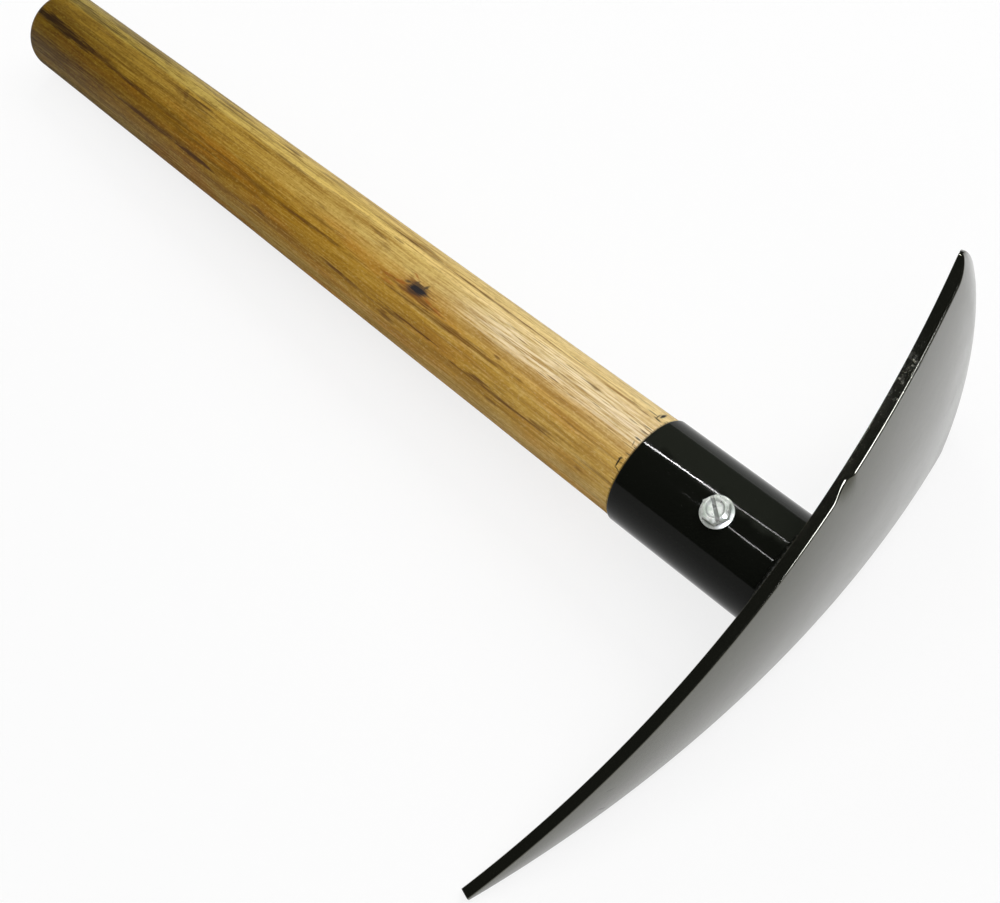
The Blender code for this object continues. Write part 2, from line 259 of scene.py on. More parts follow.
# The wood's colours, from the socket's mouth at 0 to the butt at 1
# Their darkening towards the butt is partly the wood's own tone and partly painted falloff of the light.
WOOD_COLOURS = {
    "heart": ((0.0, (0.66, 0.42, 0.095)), (0.25, (0.53, 0.300, 0.032)), (0.5, (0.39, 0.200, 0.010)),
              (0.75, (0.235, 0.115, 0.004)), (1.0, (0.155, 0.080, 0.002))),
    "dark": ((0.0, (0.36, 0.185, 0.035)), (0.35, (0.25, 0.115, 0.008)), (0.7, (0.115, 0.050, 0.002)),
             (1.0, (0.060, 0.028, 0.001))),
    "orange": ((0.0, (0.62, 0.32, 0.050)), (0.5, (0.42, 0.165, 0.008)), (1.0, (0.14, 0.055, 0.002))),
    "upper": ((0.0, (0.70, 0.54, 0.27)), (0.3, (0.57, 0.40, 0.11)), (0.55, (0.41, 0.25, 0.033)),
              (1.0, (0.20, 0.11, 0.006))),
    "sap": ((0.0, (0.88, 0.70, 0.34)), (0.45, (0.75, 0.55, 0.16)), (0.8, (0.48, 0.35, 0.060)),
            (1.0, (0.38, 0.28, 0.050))),
    "grey": ((0.0, (0.62, 0.45, 0.18)), (0.5, (0.40, 0.285, 0.085)), (1.0, (0.17, 0.120, 0.036))),
    "streak": ((0.0, (0.17, 0.070, 0.016)), (0.5, (0.095, 0.038, 0.005)), (1.0, (0.028, 0.013, 0.003))),
}
# The colour of a painted highlight that stands for the varnish's sheen near the mouth
PAINTED_SHEEN_PALE = (0.90, 0.77, 0.53)
PORE_BROWN = (0.17, 0.095, 0.030)
HALO_BROWN = (0.29, 0.120, 0.022)
KNOT_RED = (0.34, 0.100, 0.014)
KNOT_BLACK = (0.022, 0.020, 0.022)
PAINT_BLACK = (0.012, 0.010, 0.008)
# Marks in the wood: start and end as (millimetres from the mouth, degrees round the handle), half width
# in millimetres, and strength
STREAKS = (
    ((0, 43), (15, 43.5), 0.5, 0.45), ((27, 44), (37, 43.5), 0.7, 0.55),
    ((29, 40.5), (71, 41), 0.5, 0.75), ((55, 43.5), (64, 43), 0.9, 0.7),
    ((16, 48), (26, 48.5), 0.4, 0.3), ((50, 31), (55, 30.5), 0.6, 0.45),
    ((78, 46), (108, 46.5), 0.5, 0.75), ((94, 43.5), (108, 42.5), 0.8, 0.65),
    ((101, 33), (107, 34), 0.9, 0.55), ((104, 39), (108, 37), 0.5, 0.45),
    ((112, 41), (141, 42), 0.6, 0.5), ((124, 43), (140, 44.5), 0.6, 0.7),
    ((0, 65.5), (27, 65.5), 0.5, 0.4), ((45, 70), (113, 67.5), 0.8, 0.6),
    ((66, 68.5), (96, 68.5), 0.7, 0.45), ((103, 67.5), (111, 67), 0.5, 0.6),
    ((119, 69), (132, 67), 0.6, 0.3), ((134, 68), (170, 67), 0.6, 0.6),
    ((160, 67), (212, 70), 0.8, 0.35), ((205, 70), (262, 73), 0.9, 0.45),
    ((246, 73), (272, 74.5), 0.8, 0.75), ((262, 74), (292, 76.5), 1.0, 0.75),
    ((280, 76), (340, 79.5), 2.0, 0.9), ((203, 46), (228, 46), 0.9, 0.9),
    ((225, 46), (258, 46), 0.9, 0.65), ((238, 46.5), (270, 47), 0.8, 0.6),
    ((270, 42), (340, 38), 3.2, 0.45), ((171, 41), (178, 44), 0.9, 0.5),
    ((288, 48), (300, 48.5), 0.7, 0.45), ((132, 79), (155, 78.5), 0.7, 0.3),
    ((165, 80), (206, 80.5), 0.6, 0.25), ((56, 76), (59, 76.2), 0.5, 0.75),
    ((12, 33), (15, 33), 0.5, 0.35), ((149, 93), (154, 94), 0.4, 0.45),
    ((117, 99), (123, 100), 0.9, 0.3), ((121, 107), (130, 109), 0.6, 0.45),
    ((116, 116), (121, 118), 0.5, 0.45), ((40, 127), (60, 127.5), 0.4, 0.35),
    ((58, 127.5), (98, 128.5), 0.5, 0.65), ((64, 128), (73, 128), 0.6, 0.55),
    ((92, 128.5), (135, 129), 0.5, 0.5), ((101, 129.5), (106, 129.5), 0.8, 0.55),
    ((109, 129.5), (123, 129), 0.8, 0.7), ((13, 125), (24, 125), 0.4, 0.4),
    ((22, 131), (45, 131), 0.5, 0.3), ((148, 138), (167, 138), 1.4, 0.35),
    ((104, 134), (113, 137), 1.0, 0.3), ((175, 129), (236, 129.5), 0.9, 0.45),
    ((209, 129.5), (232, 129), 0.7, 0.55), ((178, 136), (188, 139.5), 1.4, 0.5),
    ((208, 138.5), (240, 140.5), 1.5, 0.5), ((214, 100.5), (230, 101), 0.5, 0.5),
    ((221, 107), (236, 107), 0.6, 0.65), ((218, 114), (238, 115), 0.6, 0.5),
    ((166, 114.5), (186, 114), 0.6, 0.5), ((184, 109), (197, 109), 0.6, 0.4),
    ((248, 116), (284, 119.5), 0.9, 0.45), ((280, 120), (340, 126), 2.2, 0.55),
    ((252, 137), (296, 137), 2.4, 0.45), ((228, 103), (242, 105), 2.0, 0.4),
    ((233, 97), (237.5, 111), 1.2, 0.6), ((85, 75), (110, 76), 0.9, 0.75),
    ((100, 86.5), (103, 89.5), 0.7, 0.6),
)
# The knot, black and a little blue, in two lobes
KNOT_LOBES = (((95, 83.5), (100, 82.5), 1.7, 1.0), ((97, 79), (101, 78), 1.1, 0.7),
              ((95, 92), (95.8, 87), 0.6, 0.8), ((99, 90), (100, 86), 0.5, 0.7),
              ((101.5, 84.5), (103.5, 83), 0.5, 0.7))
# Reddish marks beside the knot
RED_MARKS = (
    ((103.5, 79.5), (107, 77), 0.6, 0.7), ((99.5, 92), (102.5, 94.5), 0.4, 0.7),
    ((89, 77.5), (93.5, 80), 0.5, 0.7), ((84, 75.5), (88.5, 77), 0.5, 0.5),
    ((107, 71.5), (111.5, 70), 0.5, 0.5), ((109, 77.5), (113, 76.5), 0.4, 0.5),
)
# Black paint that ran along the grain past the socket's mouth
PAINT_MARKS = (
    ((2.3, 60.5), (2.4, 71), 0.33, 1.0), ((0.8, 59), (2.4, 60), 0.18, 0.9),
    ((0.6, 67), (2.3, 66.5), 0.15, 0.7), ((2.0, 71), (2.7, 69), 0.3, 0.9),
    ((0.0, 77.5), (2.1, 77.3), 0.2, 0.7), ((0.0, 86), (1.2, 86), 0.18, 0.8),
    ((1.8, 86), (2.3, 91), 0.24, 0.6), ((0.9, 95), (2.9, 95.2), 0.3, 0.85),
    ((0.8, 104), (3.4, 104.3), 0.26, 0.5), ((1.0, 111), (4.2, 111.3), 0.24, 0.6),
    ((5.8, 107), (9.2, 107), 0.22, 0.45), ((2.0, 127), (4.4, 128.5), 0.38, 0.85),
    ((4.2, 132.5), (8.0, 132.5), 0.33, 0.7), ((3.3, 134), (3.7, 144.5), 0.63, 1.0),
    ((3.9, 129), (4.4, 138), 0.3, 0.8), ((0.0, 130), (0.9, 130.5), 0.3, 0.8),
    ((0.0, 134.5), (0.9, 134), 0.3, 0.7), ((0.0, 48), (1.6, 48.4), 0.21, 0.6),
    ((0.0, 58), (0.9, 58.2), 0.3, 0.7), ((0.0, 72.5), (1.0, 72.5), 0.18, 0.6),
    ((0.0, 91), (0.8, 91), 0.18, 0.6), ((0.0, 123), (0.9, 123), 0.22, 0.6),
    ((0.0, 38), (1.0, 38.3), 0.3, 0.6),
)


def marks(shader, place, unit, rows, ragged):
    """How strongly a place is covered by spindle-shaped marks; ragged noise frays their outlines."""
    covered = 0.0
    frayed = shader.math("MULTIPLY", ragged, -0.5)
    for start, end, half_width, strength in rows:
        span = Vector(unit(end)) - Vector(unit(start))
        middle = (Vector(unit(end)) + Vector(unit(start))) / 2
        half_length = span.length / 2 + half_width / 1000
        spindle = shader.add("ShaderNodeTexGradient", {"Vector": place}, gradient_type="SPHERICAL")
        spindle.texture_mapping.vector_type = "TEXTURE"
        spindle.texture_mapping.translation = (*middle, 0.0)
        spindle.texture_mapping.rotation = (0, 0, math.atan2(span.y, span.x))
        spindle.texture_mapping.scale = (2 * half_length, 2 * half_width / 1000, 1.0)
        inside = shader.math("ADD", spindle.outputs["Fac"], frayed)
        covered = shader.math("MAXIMUM", covered, shader.ramp(inside, 0.325, 0.775, 0.0, strength))
    return covered


def on_handle(place):
    """A place on the unrolled handle: millimetres from the mouth and degrees round it, to metres."""
    return place[0] / 1000, math.radians(place[1]) * SURFACE_RADIUS


def handle_angle(s, y, z):
    """The angle round the handle; behind it the angle runs back to its start, so that no seam shows."""
    angle = s.math("ARCTAN2", z, y)
    behind = s.math("LESS_THAN", angle, -math.pi / 2)
    whole_angle = s.math("MULTIPLY_ADD", behind, 2 * math.pi, angle)
    past_turn = s.math("MAXIMUM", s.math("SUBTRACT", whole_angle, BACK_TURN), 0.0)
    return s.math("MULTIPLY_ADD", past_turn, -2 * math.pi / (1.5 * math.pi - BACK_TURN), whole_angle)


def drawn_out(s, share, scale, detail=2.0, roughness=0.5):
    """A solid pattern drawn out along the handle, as the grain is."""
    return s.noise(s.vector("MULTIPLY", s.place, (share, 1, 1)), scale, detail, roughness)


def between_angles(s, angle, start, end, low=0.0, high=1.0):
    """A smooth change between two angles round the handle, in degrees."""
    return s.ramp(angle, math.radians(start), math.radians(end), low, high)


def wood_zones(s, wood, angle, slow):
    """Golden heartwood, sapwood past a wavering line, greyer and darker on the lower side."""
    wavering = s.math("ADD", angle, s.math("MULTIPLY_ADD", slow, 0.20, -0.10))
    sapwood = s.ramp(wavering, SAP_LINE - 0.06, SAP_LINE + 0.06, 0.0, 0.9)
    colour = s.mix(between_angles(s, angle, 66, 100), wood["heart"], wood["upper"])
    colour = s.mix(sapwood, colour, wood["sap"])
    # The greyer lower side is partly paler wood and partly a painted reflection of the floor.
    colour = s.mix(between_angles(s, angle, 36, 12, 0.0, 0.7), colour, wood["grey"])
    colour = s.mix(between_angles(s, angle, 18, -2, 0.0, 0.55), colour, wood["dark"])
    warmth = s.math("MULTIPLY", s.ramp(drawn_out(s, 0.16, 150.0), 0.46, 0.66, 0.0, 0.65),
                    between_angles(s, angle, 105, 70))
    return s.mix(warmth, colour, wood["orange"])


def wood_grain(s, wood, colour, fibres, bands):
    """Bands, fibres, mottles and specks of darker and paler wood."""
    mottle = drawn_out(s, 0.55, 420.0, 3.0, 0.6)
    speckle = drawn_out(s, 0.45, 1500.0, 2.0, 0.7)
    layers = (
        (bands, 0.44, 0.72, 0.75, "dark"), (bands, 0.50, 0.30, 0.30, "upper"),
        (fibres, 0.44, 0.72, 0.68, "dark"), (fibres, 0.48, 0.28, 0.30, "sap"),
        (mottle, 0.52, 0.75, 0.35, "dark"),
        (speckle, 0.50, 0.72, 0.35, "dark"), (speckle, 0.48, 0.28, 0.25, "sap"),
    )
    for pattern, low, high, share, name in layers:
        colour = s.mix(s.ramp(pattern, low, high, 0.0, share), colour, wood[name])
    return colour


def add_knot(s, colour, unrolled, ragged):
    """The knot in its reddish halo: the new colour, and how much of each place the knot covers."""
    to_knot = s.vector("SUBTRACT", unrolled, (*on_handle(KNOT_PLACE), 0.0))
    per_reach = (1 / KNOT_REACH[0], 1 / KNOT_REACH[1], 0)
    distance = s.vector("LENGTH", s.vector("MULTIPLY", to_knot, per_reach))
    halo = s.ramp(s.math("MULTIPLY_ADD", ragged, 0.45, distance), 0.3, 1.10, 0.55, 0.0)
    colour = s.mix(halo, colour, HALO_BROWN)
    colour = s.mix(marks(s, unrolled, on_handle, RED_MARKS, ragged), colour, KNOT_RED)
    covered = marks(s, unrolled, on_handle, KNOT_LOBES, s.math("MULTIPLY", ragged, 0.8))
    return s.mix(covered, colour, KNOT_BLACK), covered


def wood_material():
    """Varnished wood, darker and browner to the butt, with streaks, a knot and marks of the paint."""
    s = Shader("varnished_wood")
    x, y, z = s.add("ShaderNodeSeparateXYZ", {0: s.place}).outputs
    from_mouth = s.math("SUBTRACT", x, MOUTH_X)
    angle = handle_angle(s, y, z)
    slow = s.noise(s.vector("MULTIPLY", s.place, (14, 60, 60)), 1.0)
    around = s.math("MULTIPLY_ADD", angle, SURFACE_RADIUS, s.math("MULTIPLY_ADD", slow, 0.0016, -0.0008))
    unrolled = s.add("ShaderNodeCombineXYZ", {"X": from_mouth, "Y": around}).outputs[0]
    fibres = drawn_out(s, 0.035, 1700.0, 3.0, 0.65)
    bands = drawn_out(s, 0.022, 430.0, 3.0, 0.55)
    zones = drawn_out(s, 0.10, 85.0)
    pores = s.ramp(drawn_out(s, 0.055, 1500.0, 1.0), 0.64, 0.74)
    ragged = s.math("MULTIPLY_ADD", drawn_out(s, 0.09, 1500.0, 2.0, 0.6), 2.0, -1.0)
    # Darker towards the butt: partly the wood's own tone, partly painted falloff of the light.
    falloff_and_tone = s.math("ADD", s.math("DIVIDE", from_mouth, HANDLE_VISIBLE_LENGTH),
                    s.math("MULTIPLY_ADD", zones, 0.24, -0.12), clamp=True)
    wood = {name: s.colours(falloff_and_tone, stops) for name, stops in WOOD_COLOURS.items()}
    colour = wood_grain(s, wood, wood_zones(s, wood, angle, slow), fibres, bands)

    # Painted highlight: pale streaks along the fibres near the mouth stand in for the varnish's sheen.
    painted_sheen_band = s.math("MULTIPLY", between_angles(s, angle, 82, 93), between_angles(s, angle, 130, 112))
    painted_sheen_band = s.math("MULTIPLY", painted_sheen_band, s.ramp(from_mouth, 0.095, 0.055))
    colour = s.mix(s.math("MULTIPLY", painted_sheen_band, s.ramp(fibres, 0.62, 0.36, 0.0, 0.7)), colour, PAINTED_SHEEN_PALE)
    pore_zone = s.math("MULTIPLY", s.ramp(from_mouth, 0.13, 0.05, 0.25, 0.85),
                       between_angles(s, angle, 60, 90, 0.4, 1.0))
    colour = s.mix(s.math("MULTIPLY", pores, pore_zone), colour, PORE_BROWN)
    streaked = s.math("MULTIPLY", marks(s, unrolled, on_handle, STREAKS, ragged),
                      s.ramp(fibres, 0.30, 0.60, 0.7, 1.35))
    colour = s.mix(streaked, colour, wood["streak"])
    colour, knot = add_knot(s, colour, unrolled, ragged)
    painted = marks(s, unrolled, on_handle, PAINT_MARKS, s.math("MULTIPLY", ragged, 0.30))
    seam = s.ramp(from_mouth, 0.0002, 0.0009, 0.6, 0.0)
    colour = s.mix(s.math("MAXIMUM", painted, seam), colour, PAINT_BLACK)

    relief = s.math("MULTIPLY_ADD", fibres, 0.7, s.math("MULTIPLY", bands, 0.5))
    relief = s.math("SUBTRACT", relief, s.math("MULTIPLY", pores, 0.5))
    relief = s.math("SUBTRACT", relief, s.math("MULTIPLY", knot, 0.5))
    return s.surface(Base_Color=colour, Roughness=s.ramp(fibres, 0.3, 0.7, 0.42, 0.58),
                     Specular_IOR_Level=between_angles(s, angle, 8, 40, 0.01, 0.12),
                     Normal=s.bump(relief, 0.5, 0.0002))


# Paint

SHEEN_START = math.radians(108)
FACE_PAINT = ((0.024, 0.025, 0.015), (0.032, 0.033, 0.021))
CUT_EDGE_SHADED_PAINT = (0.0036, 0.0040, 0.0028)
TORN_GREY = (0.13, 0.13, 0.118)
SCRATCH_BLACK = (0.002, 0.002, 0.002)
SOCKET_PAINT = (0.0046, 0.0052, 0.0038)
# A lighter grey painted on the upper side as a reflection
SOCKET_PAINTED_SHEEN = (0.0125, 0.0140, 0.0105)
SOCKET_SPECK = (0.05, 0.05, 0.045)
WELD_PAINT = ((0.0045, 0.0055, 0.0040), (0.016, 0.015, 0.012))
# Marks on the blade's outer face and cut edge: start and end as (millimetres along the arms from the
# handle's axis, millimetres off the middle), half width in millimetres, and strength
FACE_SCRATCHES = (
    ((54, 47.5), (62, 48.4), 0.35, 0.9), ((-88, -3.0), (-86, -7.0), 0.5, 0.9),
    ((-33, -17.5), (-30, -18.5), 0.6, 0.9), ((-83, 6.0), (-81, 4.5), 0.4, 0.5),
    ((90, 4.0), (91, 2.0), 0.4, 0.5),
)
TORN_PAINT = (((43, 45.5), (60, 49.5), 1.8, 0.8),)


def on_blade(place):
    """A place on the flat blade, from millimetres to metres."""
    return place[0] / 1000, place[1] / 1000


def blade_paint_material():
    """Black paint, levelled on the faces and glossy on the cut edge, darker there as painted shade, with a
    scuffed stretch.
    """
    s = Shader("blade_paint")
    x, y, z = s.add("ShaderNodeSeparateXYZ", {0: s.place}).outputs
    angle = s.math("ARCTAN2", s.math("SUBTRACT", BEND_CENTRE_Y, y), s.math("SUBTRACT", BEND_CENTRE_X, x))
    along = s.math("MULTIPLY", s.math("SUBTRACT", angle, BLADE_LEAN), BLADE_BEND_RADIUS)
    unrolled = s.add("ShaderNodeCombineXYZ", {"X": along, "Y": z}).outputs[0]
    broad = s.noise(s.place, 60.0, 2.0)
    fine = s.noise(s.place, 1300.0, 3.0, 0.7)
    ragged = s.math("MULTIPLY_ADD", fine, 1.6, -0.8)
    scratches = marks(s, unrolled, on_blade, FACE_SCRATCHES, s.math("MULTIPLY", ragged, 0.5))
    torn = s.math("MULTIPLY", marks(s, unrolled, on_blade, TORN_PAINT, ragged),
                  s.ramp(s.noise(s.place, 420.0, 3.0, 0.6), 0.50, 0.75))
    across = s.vector("DOT_PRODUCT", s.add("ShaderNodeTexCoord").outputs["Normal"], TOOL.col[2].xyz)
    cut_edge = s.ramp(s.math("ABSOLUTE", across, clamp=True), 0.45, 0.85)
    colour = s.mix(s.ramp(broad, 0.35, 0.7), *FACE_PAINT)
    # Painted shade: both cut edges get a darker copy of the paint than the faces.
    colour = s.mix(cut_edge, colour, CUT_EDGE_SHADED_PAINT)
    colour = s.mix(torn, colour, TORN_GREY)
    colour = s.mix(scratches, colour, SCRATCH_BLACK)
    roughness = s.math("ADD", s.ramp(broad, 0.3, 0.7, 0.10, 0.15), s.ramp(fine, 0.3, 0.7, -0.02, 0.05))
    roughness = s.math("SUBTRACT", roughness, s.math("MULTIPLY", cut_edge, 0.05))
    roughness = s.math("ADD", roughness, s.math("MULTIPLY", torn, 0.15))
    height = s.math("MULTIPLY_ADD", fine, 0.25, s.noise(s.place, 260.0))
    height = s.math("SUBTRACT", height, s.math("MULTIPLY", scratches, 2.0))
    height = s.math("ADD", height, s.math("MULTIPLY", torn, 3.0))
    gloss = s.math("MULTIPLY_ADD", scratches, -0.5, 0.68)
    return s.surface(Base_Color=colour, Roughness=roughness, Specular_IOR_Level=gloss,
                     Specular_Tint=(1.0, 1.0, 0.80), Normal=s.bump(height, 0.25, 0.00008))


def socket_paint_material():
    """Gloss black paint with a slight orange peel, specks, and a lighter upper side that is a painted
    reflection.
    """
    s = Shader("socket_paint")
    _, y, z = s.add("ShaderNodeSeparateXYZ", {0: s.place}).outputs
    angle = s.math("ARCTAN2", z, y)
    peel = s.noise(s.place, 520.0, 2.0)
    cloud = s.noise(s.place, 140.0, 3.0, 0.6)
    specks = s.ramp(s.noise(s.place, 2600.0, 1.0), 0.74, 0.80)
    roughness = s.ramp(s.noise(s.place, 120.0, 2.0), 0.3, 0.7, 0.05, 0.09)
    # Painted reflection: the paint turns a lighter grey towards the tube's upper edge.
    upper_sheen = s.ramp(s.math("MULTIPLY_ADD", cloud, 0.5, angle), SHEEN_START, SHEEN_START + 0.14, 0.0, 1.0)
    colour = s.mix(upper_sheen, SOCKET_PAINT, SOCKET_PAINTED_SHEEN)
    colour = s.mix(s.math("MULTIPLY", specks, 0.5), colour, SOCKET_SPECK)
    return s.surface(Base_Color=colour, Roughness=roughness, Specular_IOR_Level=0.10,
                     Normal=s.bump(peel, 0.10, 0.00008))


def weld_paint_material():
    """The socket's paint over a rippled weld."""
    s = Shader("weld_paint")
    grit = s.noise(s.place, 900.0, 4.0, 0.7)
    roughness = s.ramp(grit, 0.3, 0.7, 0.12, 0.30)
    colour = s.mix(s.ramp(grit, 0.4, 0.8), *WELD_PAINT)
    return s.surface(Base_Color=colour, Roughness=roughness, Normal=s.bump(grit, 0.4, 0.0003))


# Zinc plating

ZINC_CLOUDS = ((0.86, 0.88, 0.83), (0.60, 0.66, 0.58))
ZINC_SCUFF = (0.45, 0.47, 0.43)
PAINTED_SHADE_BLACK = (0.02, 0.02, 0.018)
CORNER_REACH = 0.0014
HEAD_SHADE_SHARE = 0.65


def zinc_material():
    """Bright zinc plating with a faint passivation tint, fine scuffs, and painted shade darkening its corners
    and creases.
    """
    s = Shader("zinc_plating")
    cloud = s.noise(s.place, 450.0, 3.0)
    grit = s.noise(s.place, 3500.0, 3.0, 0.6)
    colour = s.mix(s.ramp(cloud, 0.42, 0.62), *ZINC_CLOUDS)
    colour = s.mix(s.ramp(grit, 0.60, 0.80, 0.0, 0.4), colour, ZINC_SCUFF)
    # Painted shade: the colour darkens where ambient occlusion finds corners and creases, a little less above
    # the slot's floor.
    corners = s.add("ShaderNodeAmbientOcclusion", {"Distance": CORNER_REACH}).outputs["AO"]
    seat = screw_place()
    from_seat = s.vector("SUBTRACT", s.place, seat.to_translation())
    height = s.vector("DOT_PRODUCT", from_seat, seat.col[0].xyz)
    slot_floor = SCREW_HEAD_HEIGHT - SCREW_SLOT_DEPTH
    painted_shade = s.math("MULTIPLY", s.ramp(corners, 0.94, 0.66),
                  s.ramp(height, slot_floor, slot_floor - 0.0004, HEAD_SHADE_SHARE, 1.0))
    colour = s.mix(painted_shade, colour, PAINTED_SHADE_BLACK)
    roughness = s.ramp(cloud, 0.3, 0.7, 0.26, 0.36)
    return s.surface(Base_Color=colour, Metallic=0.45, Roughness=roughness, Normal=s.bump(grit, 0.2, 0.00005))


# Shapes

def spun(profile, steps, closed):
    """Spin a profile of (x, radius) points about the X axis into a closed shape."""
    shape = bmesh.new()
    points = [shape.verts.new((x, 0.0, radius)) for x, radius in profile]
    edges = [shape.edges.new(pair) for pair in zip(points, points[1:])]
    if closed:
        edges.append(shape.edges.new((points[-1], points[0])))
    bmesh.ops.spin(shape, geom=points + edges, cent=(0, 0, 0), axis=(1, 0, 0),
                   angle=2 * math.pi, steps=steps, use_merge=True)
    bmesh.ops.remove_doubles(shape, verts=shape.verts, dist=MERGE_DISTANCE)
    bmesh.ops.dissolve_degenerate(shape, edges=shape.edges, dist=MERGE_DISTANCE)
    return shape


def arc(centre_x, centre_radius, radius, start, end, steps=6):
    """Points of a rounding of a turned profile, between two angles from +X towards the outside."""
    points = []
    for step in range(steps + 1):
        angle = start + (end - start) * step / steps
        points.append((centre_x + radius * math.cos(angle), centre_radius + radius * math.sin(angle)))
    return points


def make_object(name, shape, frame_matrix=TOOL):
    """Turn a bmesh in the tool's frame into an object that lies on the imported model."""
    bmesh.ops.recalc_face_normals(shape, faces=shape.faces)
    bmesh.ops.transform(shape, matrix=frame_matrix, verts=shape.verts)
    mesh = bpy.data.meshes.new(name)
    shape.to_mesh(mesh)
    shape.free()
    made = bpy.data.objects.new(name, mesh)
    bpy.context.collection.objects.link(made)
    return made


def make_piece(name, shape, material, sharp_degrees=SHARP_DEGREES, frame_matrix=TOOL):
    piece = make_object(name, shape, frame_matrix)
    mesh = piece.data
    mesh.shade_smooth()
    mesh.set_sharp_from_angle(angle=math.radians(sharp_degrees))
    mesh.materials.append(material)
    return piece


def carve(piece, shape, place):
    """Cut a shape, placed in the tool's frame, out of a piece."""
    cutter = make_object("cutter", shape, TOOL @ place)
    modifier = piece.modifiers.new("cut", "BOOLEAN")
    modifier.operation = "DIFFERENCE"
    modifier.object = cutter
    bpy.context.view_layer.update()
    evaluated = piece.evaluated_get(bpy.context.evaluated_depsgraph_get())
    carved = bpy.data.meshes.new_from_object(evaluated)
    carved.set_sharp_from_angle(angle=math.radians(SHARP_DEGREES))
    piece.modifiers.remove(modifier)
    piece.data = carved
    bpy.data.objects.remove(cutter)


def round_edges(piece, width, segments, degrees):
    bevel = piece.modifiers.new("rounded_edges", "BEVEL")
    bevel.width = width
    bevel.segments = segments
    bevel.limit_method = "ANGLE"
    bevel.angle_limit = math.radians(degrees)
    bevel.harden_normals = True


def finish(piece, node):
    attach(piece, "root")
    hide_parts(node)


# Blade

BLADE_ROW_SPACING = 0.0012
BEVEL_ROWS = 16
HALF_COLUMNS = 22
CORNER_STEPS = 5
WIDTH_ROUNDS = 8


def hoe_edge_drop(z):
    """How far the rounded hoe edge lies behind its foremost point, at a distance z from the middle."""
    return HOE_EDGE_RADIUS - math.sqrt(HOE_EDGE_RADIUS ** 2 - z ** 2)


def hoe_corner():
    """The hoe's upper corner on the flat blank, before it is rounded."""
    half_hoe = HOE_WIDTH / 2
    return Vector((HOE_ARM_LENGTH - hoe_edge_drop(half_hoe), half_hoe))


def half_width(along):
    """Half the blank's width at a place along the arms, with its slightly hollow sides."""
    share = (along + POINT_ARM_LENGTH) / (hoe_corner().x + POINT_ARM_LENGTH)
    straight = POINT_WIDTH / 2 + (HOE_WIDTH - POINT_WIDTH) / 2 * share
    return straight - BLADE_SIDE_HOLLOW * 4 * share * (1 - share)


def row_bow(row_along):
    """How much a row across the blank bows like the hoe's edge, and half its width."""
    bow = min(1.0, (row_along + POINT_ARM_LENGTH) / (HOE_ARM_LENGTH - HOE_BEVEL_WIDTH + POINT_ARM_LENGTH))
    width = half_width(row_along)
    for _ in range(WIDTH_ROUNDS):
        width = half_width(row_along - bow * hoe_edge_drop(width))
    return bow, width


def blank_rows():
    """Where the rows lie along the blank: evenly, and closer together on the ground edge."""
    bevel_start = HOE_ARM_LENGTH - HOE_BEVEL_WIDTH
    count = round((bevel_start + POINT_ARM_LENGTH) / BLADE_ROW_SPACING)
    rows = [-POINT_ARM_LENGTH + (bevel_start + POINT_ARM_LENGTH) * row / count for row in range(count)]
    for row in range(BEVEL_ROWS + 1):
        rows.append(bevel_start + HOE_BEVEL_WIDTH * math.sin(math.pi / 2 * row / BEVEL_ROWS))
    return rows


def round_corner(point):
    """Pull a place near one of the hoe's corners in, so that the corner becomes round."""
    corner = hoe_corner()
    side_slope = ((HOE_WIDTH - POINT_WIDTH) / 2 + 4 * BLADE_SIDE_HOLLOW) / (corner.x + POINT_ARM_LENGTH)
    edge_slope = corner.y / math.sqrt(HOE_EDGE_RADIUS ** 2 - corner.y ** 2)
    side = Vector((-1, -side_slope)).normalized()
    edge = Vector((edge_slope, -1)).normalized()
    half_angle = side.angle(edge) / 2
    inward = (side + edge).normalized()
    centre = corner + inward * HOE_CORNER_RADIUS / math.sin(half_angle)
    offset = Vector((point.x, abs(point.y))) - centre
    if offset.length < MERGE_DISTANCE:
        return point
    reach = math.pi / 2 - half_angle
    turned = offset.angle(-inward)
    if turned >= reach:
        return point
    place = centre + offset * math.cos(reach - turned)
    return Vector((place.x, math.copysign(place.y, point.y)))


def roll(along, width, depth):
    """Bend a place on the flat blank to the blade's curve; depth is measured in from the outer face."""
    angle = BLADE_LEAN + along / BLADE_BEND_RADIUS
    radius = BLADE_BEND_RADIUS - depth
    return Vector((BEND_CENTRE_X - radius * math.cos(angle), BEND_CENTRE_Y - radius * math.sin(angle), width))


def dent(along, from_edge):
    """Depth of the dent in the outer corner of the upper cut edge, sharp at one end and long at the other."""
    gone = (DENT_START - along) / DENT_LENGTH
    if not 0.0 < gone < 1.0:
        return 0.0
    top = DENT_RISE / DENT_LENGTH
    if gone < top:
        height = math.sin(gone / top * math.pi / 2) ** 2
    else:
        height = math.cos((gone - top) / (1 - top) * math.pi / 2) ** 1.5
    return DENT_DEPTH * height * math.exp(-from_edge / DENT_REACH)


def crown(along, z):
    """How far the plate bulges outwards between its two long edges; it is flat again at the hoe's edge."""
    width = half_width(along)
    kept = min(1.0, max(0.0, (HOE_ARM_LENGTH - along) / BLADE_CROWN_FADE))
    height = min(BLADE_CROWN_SHARE * width, BLADE_CROWN_LIMIT) * kept * (2 - kept)
    return height * (1 - min(1.0, abs(z) / width) ** 2)


def seat_x(y, z):
    """Where the tube's foot and the weld meet the crowned inner face."""
    sideways = (BEND_CENTRE_Y - y) / BLADE_BEND_RADIUS
    along = BLADE_BEND_RADIUS * (math.asin(sideways) - BLADE_LEAN)
    return inner_face_x(y) - crown(along, z)


